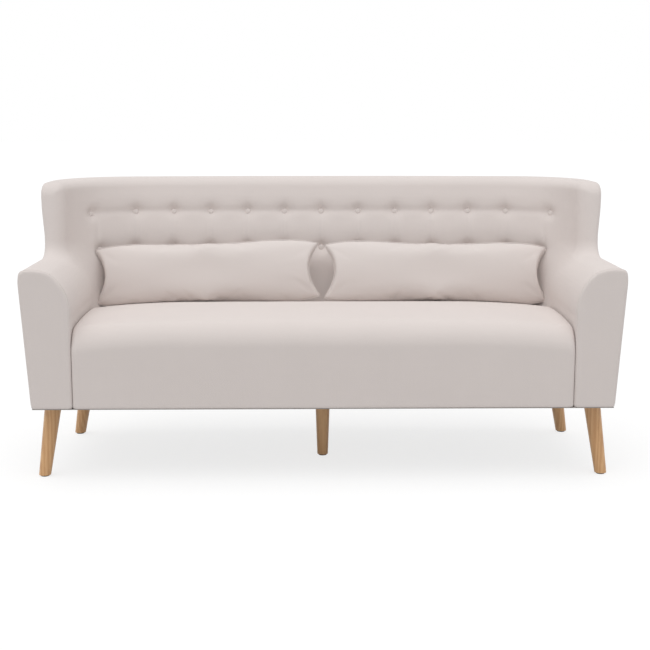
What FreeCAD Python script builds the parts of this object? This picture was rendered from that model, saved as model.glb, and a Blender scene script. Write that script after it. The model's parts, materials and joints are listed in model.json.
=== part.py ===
"""Three-seat sofa with a winged, buttoned back, two loose cushions and turned wooden legs.

Frame: X to the right of a person facing the sofa, Y to the rear, Z up.
The origin lies on the floor, midway between the sides and midway between front and rear.
Sizes are in millimetres. Each piece is written to parts/NODE.step.
"""
import FreeCAD, Part
import math
import os

V = FreeCAD.Vector

# ---------------------------------------------------------------- body
sofa_depth = 800.0           # front of the arms to the rear of the back
back_height = 880.0          # floor to the top of the back
underside_z = 225.0          # floor to the dust cover
seat_half_width = 760.0      # centre line to the inside of an arm
outside_rake = 90.0          # how far the rear face leans back on its way up
outside_bow_radius = 8500.0  # gentle plan curve of the rear face
outside_corner_radius = 260.0
wing_reach = 148.0           # inside of an arm to the outside of a wing, at the top
# the back's top edge rolls over in flats: drop below the top, and how far it has pulled in there
top_roll = ((26.0, 0.0), (9.0, 6.0), (0.0, 20.0))
cover_seam_depth = 30.0      # seam on a wing's front edge to the outside of the wing

cover_t = 2.0                # upholstery cloth with its lining
board_t = 4.0                # hardboard under the outside cloth
rail_t = 40.0                # thickness of the back frame
webbing_t = 2.0
dust_cover_t = 1.5

# ---------------------------------------------------------------- inside of the back
back_foot_forward = 15.0     # the inside back starts this far ahead of the seat's rear edge
back_foot_z = 450.0
back_top_thickness = 115.0
wing_inset = 75.0            # inside of an arm to the inside of a wing
inside_corner_radius = 280.0
wing_front_low = 345.0       # front of the sofa to the wing's front edge, at wing_low_z
wing_low_z = 650.0
wing_front_high = 400.0      # the same at the top

# ---------------------------------------------------------------- seat
seat_depth = 560.0
seat_face_z = 425.0          # where the front face starts to roll over
seat_roll_radius = 65.0
seat_roll_end = 80.0         # degrees of roll
seat_crown_z = 500.0
seat_crown_setback = 290.0   # front of the seat to the crown
seat_rear_z = 462.0
seat_edge_z = 478.0          # seat height beside an arm
seat_front_foam_t = 12.0

# ---------------------------------------------------------------- arms
arm_length = 500.0
arm_foot_width = 122.0
arm_head_width = 150.0       # at the front
arm_shoulder_z = 500.0       # where the inside starts to curve outwards
arm_bend_z = 588.0
arm_bend_inset = 18.0
arm_top_z = 637.0
arm_top_inset = 64.0
arm_crown_z = 650.0
arm_corner_z = 634.0
arm_corner_radius = 9.0
arm_foam_t = 34.0            # on the inside of the arm
arm_front_foam_t = 12.0
arm_board_top_z = 598.0      # top of the arm's wooden frame
arm_panel_t = 18.0
arm_top_rail_t = 22.0
arm_bottom_rail_t = 40.0

# ---------------------------------------------------------------- seat frame and springs
front_rail_t = 30.0
seat_back_rail_t = 28.0
side_rail_t = 30.0
rail_top_z = 352.0
stretcher_width = 100.0
stretcher_t = 40.0
corner_block_leg = 90.0
corner_block_t = 60.0
spring_count = 10
spring_pitch_x = 144.0
spring_width = 40.0          # straight part of a bend
spring_turn = 30.0           # from one bend to the next
spring_wire_r = 1.9
spring_lift = 6.0            # rail top to the wire's axis
clip_size = (18.0, 14.0, 10.0)
tie_wire_r = 1.2
tie_wire_offsets = (150.0, 300.0, 430.0)   # from the front of the sofa
fit_gap = 0.1
pad_t = 4.0
arm_bolt_offsets = (190.0, 330.0)          # from the front of the sofa
arm_bolt_r = 4.0
arm_bolt_z = 250.0
arm_bolt_reach = 40.0        # depth into the arm's bottom rail
bolt_head_r = 8.0
bolt_head_t = 5.0

# ---------------------------------------------------------------- back frame
post_width = 30.0
post_x = 670.0               # inner side of the outer posts
middle_post_x = 316.0        # axis of the two middle posts
rear_rail_top_z = 300.0
top_rail_low_z = 800.0
top_rail_high_z = 850.0
cross_rail_z = (400.0, 440.0)
corner_board_t = 40.0
back_foam_low_z = 380.0
wing_post_front_foam_t = 12.0
wing_post_width = 36.0
strap_width = 50.0
strap_end_inset = 5.0

# ---------------------------------------------------------------- buttons
button_rows_z = (770.0, 650.0)
button_columns = 11
button_pitch = 126.5
wing_button_x = (766.3, 738.7)      # one for each row
button_r = 11.0
button_rim_t = 3.0
button_dome_t = 5.0
curve_button_lift = 0.3      # keeps a flat button clear of the hollow curve into the wing
twine_r = 1.0
anchor_r = 10.0
anchor_t = 3.0
anchor_sink = 2.0

# ---------------------------------------------------------------- legs
leg_plate_size = 80.0
leg_plate_t = 3.0
leg_top_r = 26.0
leg_foot_r = 18.5
centre_leg_top_r = 25.0
centre_leg_foot_r = 17.5
glide_r = 13.0
glide_t = 4.0
glide_pin_r = 2.0
glide_pin_length = 14.0
front_leg_inset = 74.0       # inside of the arm to the leg's axis, at the top
front_leg_setback = 104.0
front_leg_splay = (28.0, -31.0)    # sideways and rearwards, from top to foot
rear_leg_inset = 40.0
rear_leg_setback = 560.0
rear_leg_splay = (40.0, 30.0)
centre_leg_setback = 300.0
leg_bolt_r = 4.0
leg_bolt_down = 40.0
leg_bolt_up = 28.0
screw_r = 2.0
screw_head_r = 4.5
screw_head_t = 2.0
screw_length = 18.0
screw_inset = 10.0           # plate edge to the screw's axis

# ---------------------------------------------------------------- loose cushions
cushion_length = 735.0
cushion_height = 205.0
cushion_thickness = 112.0
cushion_edge_t = 5.0
# from an end: distance along the cushion, share of the full thickness, pull-in of the long edges
cushion_sections = ((0.0, 0.12, 0.0), (60.0, 0.62, 5.0), (150.0, 0.95, 9.0), (240.0, 1.0, 10.0))
cushion_middle_gap = 12.0    # centre line to a cushion
cushion_cloth_t = 1.5
cushion_clearance = 0.3      # to the seat and the back
zip_length = 420.0
zip_width = 9.0
zip_t = 1.5
zip_recess = 5.5
zip_recess_width = 13.0
zip_height = 30.0            # lower edge of the cushion to the zip
slider_size = (12.0, 7.0, 2.5)
slider_gap = 0.3
slider_end_gap = 1.0

# ---------------------------------------------------------------- derived places
front_y = -sofa_depth / 2
rear_y = sofa_depth / 2
floor_z = underside_z + dust_cover_t     # bottom of the frame and of the covers
seat_rear_y = front_y + seat_depth
arm_rear_y = front_y + arm_length
frame_front_y = front_y + cover_t + seat_front_foam_t
foot_half_width = seat_half_width + arm_foot_width
top_half_width = seat_half_width + wing_reach
plate_low_z = underside_z - leg_plate_t
spring_z = rail_top_z + spring_lift
foam_low_z = spring_z + spring_wire_r + fit_gap + pad_t
far = 2000.0                             # beyond the sofa on every side
arm_overrun = 30.0                       # the arm section starts this far down, then is cut level


def box(x0, x1, y0, y1, z0, z1):
    return Part.makeBox(x1 - x0, y1 - y0, z1 - z0, V(x0, y0, z0))


def between(value_low, value_high, z_low, z_high, z):
    return value_low + (value_high - value_low) * (z - z_low) / (z_high - z_low)


def mirrored(shape):
    return shape.mirror(V(0, 0, 0), V(1, 0, 0))


def prism(points, direction):
    return Part.Face(Part.makePolygon(points + points[:1])).extrude(direction)


def union(shapes):
    return shapes[0].multiFuse(shapes[1:]) if len(shapes) > 1 else shapes[0]


def cylinder(radius, start, direction, length):
    return Part.makeCylinder(radius, length, start, direction)


# ---------------------------------------------------------------- plan curves of the back
def outside_at(z, inset):
    """Half width, rear, bow radius and corner radius of the outside of the sofa at a height."""
    half = between(foot_half_width, top_half_width, underside_z, back_height, z)
    rear = between(rear_y - outside_rake, rear_y, underside_z, back_height - top_roll[0][0], z)
    return (half - inset, rear - inset, outside_bow_radius - inset, outside_corner_radius - inset)


def inside_at(z, grow):
    """Half width, rear and corner radius of the hollow that the back and wings wrap round."""
    half = seat_half_width + wing_inset
    foot_y = seat_rear_y - back_foot_forward
    rear = between(foot_y, rear_y - back_top_thickness, back_foot_z, back_height, z)
    return (half + grow, rear + grow, inside_corner_radius + grow)


def corner_centre(plan):
    """Centre of the right-hand corner arc and centre of the bow, in plan."""
    half, rear, bow, corner = plan
    bow_centre = V(0, rear - bow, 0)
    x = half - corner
    y = bow_centre.y + math.sqrt((bow - corner) ** 2 - x ** 2)
    return V(x, y, 0), bow_centre


def plan_wire(plan, front, z):
    """Straight sides, round rear corners and a bowed rear."""
    half, rear, bow, corner = plan
    centre, bow_centre = corner_centre(plan)
    to_corner = (centre - bow_centre).normalize()
    join = bow_centre + to_corner * bow
    half_turn = math.atan2(to_corner.y, to_corner.x) / 2
    middle = centre + V(math.cos(half_turn), math.sin(half_turn), 0) * corner
    up = V(0, 0, z)
    right = [V(half, front, 0) + up, V(half, centre.y, 0) + up, middle + up, join + up]
    left = [V(-p.x, p.y, p.z) for p in right]
    edges = [
        Part.makeLine(left[0], right[0]),
        Part.makeLine(right[0], right[1]),
        Part.Arc(right[1], right[2], right[3]).toShape(),
        Part.Arc(right[3], V(0, rear, z), left[3]).toShape(),
        Part.Arc(left[3], left[2], left[1]).toShape(),
        Part.makeLine(left[1], left[0]),
    ]
    return Part.Wire(edges)


def outside_solid(inset, z0=floor_z, z1=back_height):
    wires = [plan_wire(outside_at(z, inset), front_y + inset, z) for z in (z0, z1)]
    return Part.makeLoft(wires, True, True)


def rolled_outside(inset):
    """The outside with its top edge rolled inwards in three flats."""
    wires = [plan_wire(outside_at(floor_z, inset), front_y + inset, floor_z)]
    for drop, pull_in in top_roll:
        z = back_height - inset - drop
        wires.append(plan_wire(outside_at(z, inset + pull_in), front_y + inset, z))
    return Part.makeLoft(wires, True, True)


def inside_wire(z, grow):
    """Plan of the hollow: upright sides, round rear corners and a flat rear."""
    half, rear, corner = inside_at(z, grow)
    start = front_y - far / 4
    centre = V(half - corner, rear - corner, z)
    diagonal = V(1, 1, 0) * (corner * math.sqrt(0.5))
    right = [V(half, start, z), V(half, centre.y, z), centre + diagonal, V(centre.x, rear, z)]
    left = [V(-p.x, p.y, p.z) for p in right]
    return Part.Wire([
        Part.makeLine(left[0], right[0]), Part.makeLine(right[0], right[1]),
        Part.Arc(right[1], right[2], right[3]).toShape(), Part.makeLine(right[3], left[3]),
        Part.Arc(left[3], left[2], left[1]).toShape(), Part.makeLine(left[1], left[0]),
    ])


def inside_solid(grow):
    """The hollow as a leaning prism, with upright wings and a flat, raked back."""
    low, high = underside_z, back_height
    lean = V(0, inside_at(high, grow)[1] - inside_at(low, grow)[1], high - low)
    return Part.Face(inside_wire(low, grow)).extrude(lean)


def inside_mouth(inset):
    """What the rolled top edge takes off the back's inside."""
    top = back_height - inset
    rings = [inside_wire(top - drop, inset + pull_in) for drop, pull_in in top_roll]
    return Part.makeLoft(rings, True, True)


def wing_front_y(z):
    return front_y + between(wing_front_low, wing_front_high, wing_low_z, back_height, z)


def ahead_of_wings(inset):
    """Everything in front of the wings' leaning front edges."""
    low, high = underside_z - 1, back_height + 1
    points = [
        V(-far, front_y - far, low),
        V(-far, wing_front_y(low) + inset, low),
        V(-far, wing_front_y(high) + inset, high),
        V(-far, front_y - far, high),
    ]
    return prism(points, V(2 * far, 0, 0))


# ---------------------------------------------------------------- seat volume
def seat_solid(inset):
    """Front face, rolled front edge and crowned top, inset from the cloth's outer face."""
    face_y = front_y + inset
    roll_centre = V(0, front_y + seat_roll_radius, seat_face_z)
    radius = seat_roll_radius - inset

    def on_roll(degrees):
        turn = math.radians(degrees)
        return roll_centre + V(0, -math.cos(turn), math.sin(turn)) * radius

    roll_end = on_roll(seat_roll_end)
    crown = V(0, front_y + seat_crown_setback, seat_crown_z - inset)
    rear_top = V(0, seat_rear_y, seat_rear_z - inset)
    profile = Part.Wire([
        Part.makeLine(V(0, face_y, floor_z), on_roll(0)),
        Part.Arc(on_roll(0), on_roll(seat_roll_end / 2), roll_end).toShape(),
        Part.Arc(roll_end, crown, rear_top).toShape(),
        Part.makeLine(rear_top, V(0, seat_rear_y, floor_z)),
        Part.makeLine(V(0, seat_rear_y, floor_z), V(0, face_y, floor_z)),
    ])
    half = seat_half_width - inset
    along = Part.Face(profile).extrude(V(2 * half, 0, 0))
    along.translate(V(-half, 0, 0))
    edge = seat_edge_z - inset
    across = Part.Wire([
        Part.makeLine(V(half, front_y, floor_z), V(half, front_y, edge)),
        Part.Arc(V(half, front_y, edge), V(0, front_y, seat_crown_z - inset),
                 V(-half, front_y, edge)).toShape(),
        Part.makeLine(V(-half, front_y, edge), V(-half, front_y, floor_z)),
        Part.makeLine(V(-half, front_y, floor_z), V(half, front_y, floor_z)),
    ])
    return along.common(Part.Face(across).extrude(V(0, sofa_depth, 0)))


# ---------------------------------------------------------------- arm volume (right-hand arm)
def arm_wire(y, top_x, inset):
    """Flared arm section: upright inside, round shoulder, nearly flat head, leaning outside."""
    corner = arm_corner_radius
    inner = seat_half_width
    lean = (top_x - foot_half_width) / (arm_corner_z - floor_z)
    low_inside = V(inner, y, floor_z - arm_overrun)
    low_outside = V(foot_half_width - lean * arm_overrun, y, floor_z - arm_overrun)
    shoulder = V(inner, y, arm_shoulder_z)
    bend = V(inner + arm_bend_inset, y, arm_bend_z)
    top = V(inner + arm_top_inset, y, arm_top_z)
    head_end = V(top_x - corner, y, arm_corner_z + corner)
    crown = V((top.x + head_end.x) / 2, y, arm_crown_z)
    round_share = 1 - math.sqrt(0.5)
    corner_mid = V(top_x - corner * round_share, y, arm_corner_z + corner * (1 - round_share))
    corner_end = V(top_x, y, arm_corner_z)
    wire = Part.Wire([
        Part.makeLine(low_inside, shoulder),
        Part.Arc(shoulder, bend, top).toShape(),
        Part.Arc(top, crown, head_end).toShape(),
        Part.Arc(head_end, corner_mid, corner_end).toShape(),
        Part.makeLine(corner_end, low_outside),
        Part.makeLine(low_outside, low_inside),
    ])
    return wire.makeOffset2D(-inset) if inset else wire


def arm_solid(inset):
    front = arm_wire(front_y + inset, seat_half_width + arm_head_width, inset)
    rear_x = between(foot_half_width, top_half_width, underside_z, back_height, arm_corner_z)
    rear = arm_wire(arm_rear_y, rear_x, inset)
    body = Part.makeLoft([front, rear], True, True)
    return body.cut(box(-far, far, -far, far, 0, floor_z))


def arm_zone(shape):
    """The part of the arm that holds its wooden frame."""
    inner = seat_half_width + cover_t + arm_foam_t
    front = front_y + cover_t + arm_front_foam_t
    return shape.common(box(inner, far, front, arm_rear_y, floor_z, arm_board_top_z))


# ---------------------------------------------------------------- back and wings volume
def neighbours_of_back():
    """The seat, both arms and the space beside the arms' frames, which the back stops at."""
    arm = arm_solid(0)
    beside = box(seat_half_width, far, -far, arm_rear_y, 0, arm_board_top_z)
    return [seat_solid(0), arm, mirrored(arm), beside, mirrored(beside)]


def back_volume(inset):
    """Back with its wings, resting behind the seat and on the arms' rear ends."""
    hollow = [inside_solid(inset), inside_mouth(inset), ahead_of_wings(inset)]
    return rolled_outside(inset).cut(hollow + neighbours_of_back())


# ---------------------------------------------------------------- small helpers for fasteners
def rounded_plate(x, y, z0, size, thickness):
    plate = box(x - size / 2, x + size / 2, y - size / 2, y + size / 2, z0, z0 + thickness)
    upright = [e for e in plate.Edges if abs(e.Vertexes[0].Z - e.Vertexes[-1].Z) > thickness / 2]
    return plate.makeFillet(screw_inset, upright)


def write(name, shape):
    """One STEP file for one node; a group of like pieces is a compound of solids."""
    solids = shape.Solids
    single = solids[0] if len(solids) == 1 else Part.makeCompound(solids)
    single.exportStep("parts/" + name + ".step")
    print(name, len(solids), round(sum(s.Volume for s in solids) / 1000.0, 1), "cm3")


def write_pair(name, right_shape):
    """A right-hand piece and its mirror image, each in its own node."""
    write("right_" + name, right_shape)
    write("left_" + name, mirrored(right_shape))


def write_both(name, right_shape):
    """A right-hand piece and its mirror image, as two solids of one node."""
    write(name, Part.makeCompound([right_shape, mirrored(right_shape)]))


# ---------------------------------------------------------------- legs
def leg_places():
    """Name, top centre, foot centre, top radius and foot radius of each leg."""
    front_x = seat_half_width + front_leg_inset
    rear_x = seat_half_width + rear_leg_inset
    front_top = V(front_x, front_y + front_leg_setback, plate_low_z)
    rear_top = V(rear_x, front_y + rear_leg_setback, plate_low_z)
    front_foot = V(front_x + front_leg_splay[0], front_top.y + front_leg_splay[1], glide_t)
    rear_foot = V(rear_x + rear_leg_splay[0], rear_top.y + rear_leg_splay[1], glide_t)
    places = []
    for end, top, foot in (("front", front_top, front_foot), ("rear", rear_top, rear_foot)):
        for side, name in ((1, "right"), (-1, "left")):
            places.append((end + "_" + name + "_leg", V(side * top.x, top.y, top.z),
                           V(side * foot.x, foot.y, foot.z), leg_top_r, leg_foot_r))
    y = front_y + centre_leg_setback
    places.append(("centre_leg", V(0, y, plate_low_z), V(0, y, glide_t),
                   centre_leg_top_r, centre_leg_foot_r))
    return places


def tapered_leg(top, foot, top_r, foot_r):
    rings = [Part.Wire(Part.makeCircle(r, c, V(0, 0, 1))) for c, r in ((foot, foot_r), (top, top_r))]
    return Part.makeLoft(rings, True, True)


def glide(foot):
    disc = cylinder(glide_r, foot - V(0, 0, glide_t), V(0, 0, 1), glide_t)
    return disc.fuse(cylinder(glide_pin_r, foot, V(0, 0, 1), glide_pin_length))


def plate_screw_axes(top):
    reach = leg_plate_size / 2 - screw_inset
    return [V(top.x + a * reach, top.y + b * reach, plate_low_z) for a in (-1, 1) for b in (-1, 1)]


def plate_screw(axis_point):
    up = V(0, 0, 1)
    head = cylinder(screw_head_r, axis_point - up * screw_head_t, up, screw_head_t)
    return head.fuse(cylinder(screw_r, axis_point, up, leg_plate_t + dust_cover_t + screw_length))


def leg_bolt(top):
    start = top - V(0, 0, leg_bolt_down)
    length = leg_bolt_down + leg_plate_t + dust_cover_t + leg_bolt_up
    return cylinder(leg_bolt_r, start, V(0, 0, 1), length)


# ---------------------------------------------------------------- seat frame and springs
def spring_rows():
    half = (spring_count - 1) / 2
    return [(i - half) * spring_pitch_x for i in range(spring_count)]


def spring_ends():
    front = frame_front_y + front_rail_t / 2
    rear = seat_rear_y - cover_t - seat_back_rail_t / 2
    return front, rear


def sinuous_spring():
    """One zigzag wire in the plane of the rails, about x = 0: straight bars joined by half rings."""
    front, rear = spring_ends()
    bends = int((rear - front) / spring_turn)
    turn = (rear - front) / bends
    half = spring_width / 2
    pieces = []
    for i in range(bends + 1):
        y = front + i * turn
        pieces.append(cylinder(spring_wire_r, V(-half, y, spring_z), V(1, 0, 0), spring_width))
        if i < bends:
            side = 1 if i % 2 else -1
            ring = Part.makeTorus(turn / 2, spring_wire_r, V(0, 0, 0), V(0, 0, 1), -180, 180, 180)
            ring.rotate(V(0, 0, 0), V(0, 0, 1), -90 * side)
            ring.translate(V(side * half, y + turn / 2, spring_z))
            pieces.append(ring)
    return union(pieces)


def spring_clip(x, y):
    a, b, c = clip_size
    block = box(x - a / 2, x + a / 2, y - b / 2, y + b / 2, rail_top_z, rail_top_z + c)
    return block.cut(cylinder(spring_wire_r, V(x - a, y, spring_z), V(1, 0, 0), 2 * a))


def arm_bolts():
    """Right-hand bolts that hold an arm to the seat frame, with their heads."""
    start_x = seat_half_width - cover_t - side_rail_t
    length = side_rail_t + 2 * cover_t + arm_foam_t + arm_bolt_reach
    out = V(1, 0, 0)
    bolts = []
    for offset in arm_bolt_offsets:
        start = V(start_x, front_y + offset, arm_bolt_z)
        head = cylinder(bolt_head_r, start - out * bolt_head_t, out, bolt_head_t)
        bolts.append(head.fuse(cylinder(arm_bolt_r, start, out, length)))
    return bolts


# ---------------------------------------------------------------- back frame
def outside_layer(near, deep, z0, z1):
    """A skin between two depths under the outside cloth."""
    return outside_solid(near, z0, z1).cut(outside_solid(deep, z0 - 1, z1 + 1))


# ---------------------------------------------------------------- buttons
def on_inside_back(x, z):
    """Point on the inside back at a width and height, with its outward normal."""
    half, rear, corner = inside_at(z, 0)
    climb = inside_at(z + 1, 0)[1] - rear
    past = max(abs(x) - (half - corner), 0) / corner
    radial = V(math.copysign(past, x), math.sqrt(1 - past ** 2), 0)
    normal = (V(0, 0, climb * radial.y) - radial).normalize()
    lift = curve_button_lift if past else 0
    return V(x, rear - corner * (1 - radial.y), z) + normal * lift, normal


def button_places():
    """Places of the buttons on the inside back, then on the right wing."""
    columns = [(i - (button_columns - 1) / 2) * button_pitch for i in range(button_columns)]
    flat = [on_inside_back(x, z) for z in button_rows_z for x in columns]
    wing = [on_inside_back(x, z) for x, z in zip(wing_button_x, button_rows_z)]
    return flat, wing


def button(point, normal):
    """Flat-based button with a domed face."""
    sphere_r = (button_r ** 2 + button_dome_t ** 2) / (2 * button_dome_t)
    height = button_rim_t + button_dome_t
    dome = Part.makeSphere(sphere_r, V(0, 0, height - sphere_r))
    shape = Part.makeCylinder(button_r, height).common(dome)
    shape.Placement = FreeCAD.Placement(point, FreeCAD.Rotation(V(0, 0, 1), normal))
    return shape


def twine_length(point, normal):
    """From a button's base to just short of the back of the foam, along the button's axis."""
    level = V(normal.x, normal.y, 0).Length
    length = 0.0
    for _ in range(8):
        tip = point - normal * length
        half, rear, bow, corner = outside_at(tip.z, cover_t + board_t + rail_t + webbing_t)
        centre, bow_centre = corner_centre((half, rear, bow, corner))
        if abs(tip.x) < centre.x:
            gap = bow - math.hypot(tip.x, tip.y - bow_centre.y)
        else:
            gap = corner - math.hypot(abs(tip.x) - centre.x, tip.y - centre.y)
        length += gap / level
    return length - anchor_sink


# ---------------------------------------------------------------- loose cushions
def cushion_halves(inset):
    """Half length, half height, half thickness and half edge thickness."""
    return (cushion_length / 2 - inset, cushion_height / 2 - inset,
            cushion_thickness / 2 - inset, (cushion_edge_t - inset) / 2)


def cushion_solid(inset):
    """Knife-edged pillow about the origin: length along X, thickness along Y, height along Z."""
    half_l, half_h, half_t, edge = cushion_halves(inset)
    rings = []
    for reach, fullness, waist in cushion_sections:
        x = half_l - reach
        h = half_h - waist
        t = edge + (half_t - edge) * fullness
        rings.append((x, h, t))
    rings = [(-x, h, t) for x, h, t in rings] + rings[::-1]

    def ring(x, h, t):
        return Part.Wire([
            Part.Arc(V(x, edge, -h), V(x, t, 0), V(x, edge, h)).toShape(),
            Part.makeLine(V(x, edge, h), V(x, -edge, h)),
            Part.Arc(V(x, -edge, h), V(x, -t, 0), V(x, -edge, -h)).toShape(),
            Part.makeLine(V(x, -edge, -h), V(x, edge, -h)),
        ])

    return Part.makeLoft([ring(x, h, t) for x, h, t in rings], True, True)


def zip_block(length, width, low, high, x=0.0):
    """A bar on the cushion's rear face near its lower edge, between two depths under the cloth."""
    _, half_h, half_t, edge = cushion_halves(0)
    half_h -= cushion_sections[-1][2]
    rise = half_t - edge
    radius = (half_h ** 2 + rise ** 2) / (2 * rise)
    z = zip_height - half_h
    level = math.sqrt(radius ** 2 - z ** 2)
    surface = V(0, half_t - radius + level, z)
    normal = V(0, level, z).normalize()
    bar = box(x - length / 2, x + length / 2, -width / 2, width / 2, -low, -high)
    bar.Placement = FreeCAD.Placement(surface, FreeCAD.Rotation(V(0, 0, 1), normal))
    return bar


def cushion_pieces():
    """Cover, pad, zip and zip slider about the origin."""
    recess = zip_block(zip_length, zip_width, zip_recess, -cushion_thickness)
    outer, inner = cushion_solid(0), cushion_solid(cushion_cloth_t)
    slider_low = zip_recess - zip_t - slider_gap
    slider_x = -(zip_length - slider_size[0]) / 2 + slider_end_gap
    return {
        "cushion_cover": outer.cut([inner, recess]),
        "cushion_pad": inner.cut(recess),
        "cushion_zip": zip_block(zip_length, zip_width, zip_recess, zip_recess - zip_t),
        "zip_slider": zip_block(slider_size[0], slider_size[1], slider_low,
                                slider_low - slider_size[2], slider_x),
    }


def settled(shape, neighbour, direction):
    """Placement shift that brings a shape to its running clearance from a neighbour."""
    moved = shape.copy()
    shift = V(0, 0, 0)
    for _ in range(3):
        step = direction * (moved.distToShape(neighbour)[0] - cushion_clearance)
        moved.translate(step)
        shift += step
    return shift


def cushion_placement(seat, back):
    """Leans the right-hand cushion on the back and stands it on the seat."""
    slope = (inside_at(back_height, 0)[1] - inside_at(back_foot_z, 0)[1]) / (back_height - back_foot_z)
    lean = math.atan(slope)
    x = cushion_middle_gap + cushion_length / 2
    toward_back = V(0, math.cos(lean), -math.sin(lean))
    down = V(0, -math.sin(lean), -math.cos(lean))
    start = V(x, seat_rear_y - cushion_thickness, seat_crown_z + cushion_height / 2)
    turn = FreeCAD.Rotation(V(1, 0, 0), -math.degrees(lean))
    for neighbour, direction in ((back, toward_back), (seat, down), (back, toward_back), (seat, down)):
        solid = cushion_solid(0)
        solid.Placement = FreeCAD.Placement(start, turn)
        start = start + settled(solid, neighbour, direction)
    print("cushion centre", start, "lean", round(math.degrees(lean), 2))
    return FreeCAD.Placement(start, turn)


# ---------------------------------------------------------------- the pieces
def make_legs():
    plates, screws, bolts, glides = [], [], [], []
    for name, top, foot, top_r, foot_r in leg_places():
        bolt, foot_glide = leg_bolt(top), glide(foot)
        write(name, tapered_leg(top, foot, top_r, foot_r).cut([bolt, foot_glide]))
        plate_screws = [plate_screw(p) for p in plate_screw_axes(top)]
        plate = rounded_plate(top.x, top.y, plate_low_z, leg_plate_size, leg_plate_t)
        plates.append(plate.cut(plate_screws + [bolt]))
        screws += plate_screws
        bolts.append(bolt)
        glides.append(foot_glide)
    write("leg_plates", Part.makeCompound(plates))
    write("plate_screws", Part.makeCompound(screws))
    write("leg_bolts", Part.makeCompound(bolts))
    write("leg_glides", Part.makeCompound(glides))
    return screws + bolts


def make_seat(leg_fasteners, bolts):
    left_bolts = [mirrored(b) for b in bolts]
    rail_half = seat_half_width - cover_t
    rear = seat_rear_y - cover_t
    back_rail_y = rear - seat_back_rail_t
    front_in_y = frame_front_y + front_rail_t
    side_in_x = rail_half - side_rail_t
    write("front_rail", box(-rail_half, rail_half, frame_front_y, front_in_y, floor_z, rail_top_z))
    write("seat_back_rail", box(-rail_half, rail_half, back_rail_y, rear, floor_z, rail_top_z))
    side_rail = box(side_in_x, rail_half, front_in_y, back_rail_y, floor_z, rail_top_z)
    write_both("side_rails", side_rail.cut(bolts))
    stretcher = box(-stretcher_width / 2, stretcher_width / 2, front_in_y, back_rail_y,
                    floor_z, floor_z + stretcher_t)
    write("centre_stretcher", stretcher.cut(leg_fasteners))
    leg = corner_block_leg
    blocks = []
    for y, way in ((front_in_y, 1), (back_rail_y, -1)):
        corner = V(side_in_x, y, floor_z)
        block = prism([corner, corner - V(leg, 0, 0), corner + V(0, way * leg, 0)],
                      V(0, 0, corner_block_t))
        blocks += [block, mirrored(block)]
    write("corner_blocks", Part.makeCompound(blocks))

    spring = sinuous_spring()
    springs, clips = [], []
    for x in spring_rows():
        copy = spring.copy()
        copy.translate(V(x, 0, 0))
        springs.append(copy)
        clips += [spring_clip(x, y) for y in spring_ends()]
    write("seat_springs", Part.makeCompound(springs))
    write("spring_clips", Part.makeCompound(clips))
    tie_z = spring_z - spring_wire_r - tie_wire_r - fit_gap
    ties = [cylinder(tie_wire_r, V(-rail_half, front_y + y, tie_z), V(1, 0, 0), 2 * rail_half)
            for y in tie_wire_offsets]
    write("spring_tie_wires", Part.makeCompound(ties))
    clip_half = clip_size[1] / 2 + fit_gap
    front_end, rear_end = spring_ends()
    write("spring_pad", box(-rail_half, rail_half, front_end + clip_half, rear_end - clip_half,
                            foam_low_z - pad_t, foam_low_z))

    inner = seat_solid(cover_t)
    under = box(-far, far, frame_front_y, far, 0, foam_low_z)
    write("seat_foam", inner.cut(under))
    all_bolts = bolts + left_bolts
    write("seat_cover", seat_solid(0).cut([inner] + all_bolts))

    rim = [plan_wire(outside_at(z, cover_t), front_y + cover_t, z) for z in (underside_z, floor_z)]
    write("dust_cover", Part.makeLoft(rim, True, True).cut(leg_fasteners))


def make_arms(leg_fasteners, bolts, wing_post):
    outer, inner = arm_solid(0), arm_solid(cover_t)
    zone = arm_zone(inner)
    frame = arm_zone(arm_solid(cover_t + board_t))
    front = front_y + cover_t + arm_front_foam_t
    panel_end, rear_start = front + arm_panel_t, arm_rear_y - arm_panel_t
    rail_low = arm_board_top_z - arm_top_rail_t
    write_pair("arm_cover", outer.cut([inner, wing_post] + bolts))
    write_pair("arm_foam", inner.cut([zone, wing_post] + bolts))
    write_both("arm_side_boards", zone.cut(frame))
    write_both("arm_front_panels", frame.common(box(0, far, -far, panel_end, 0, far)))
    write_both("arm_rear_panels", frame.common(box(0, far, rear_start, far, 0, far)))
    write_both("arm_top_rails", frame.common(box(0, far, panel_end, rear_start, rail_low, far)))
    bottom = frame.common(box(0, far, panel_end, rear_start, 0, floor_z + arm_bottom_rail_t))
    write_both("arm_bottom_rails", bottom.cut(leg_fasteners + bolts))


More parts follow.
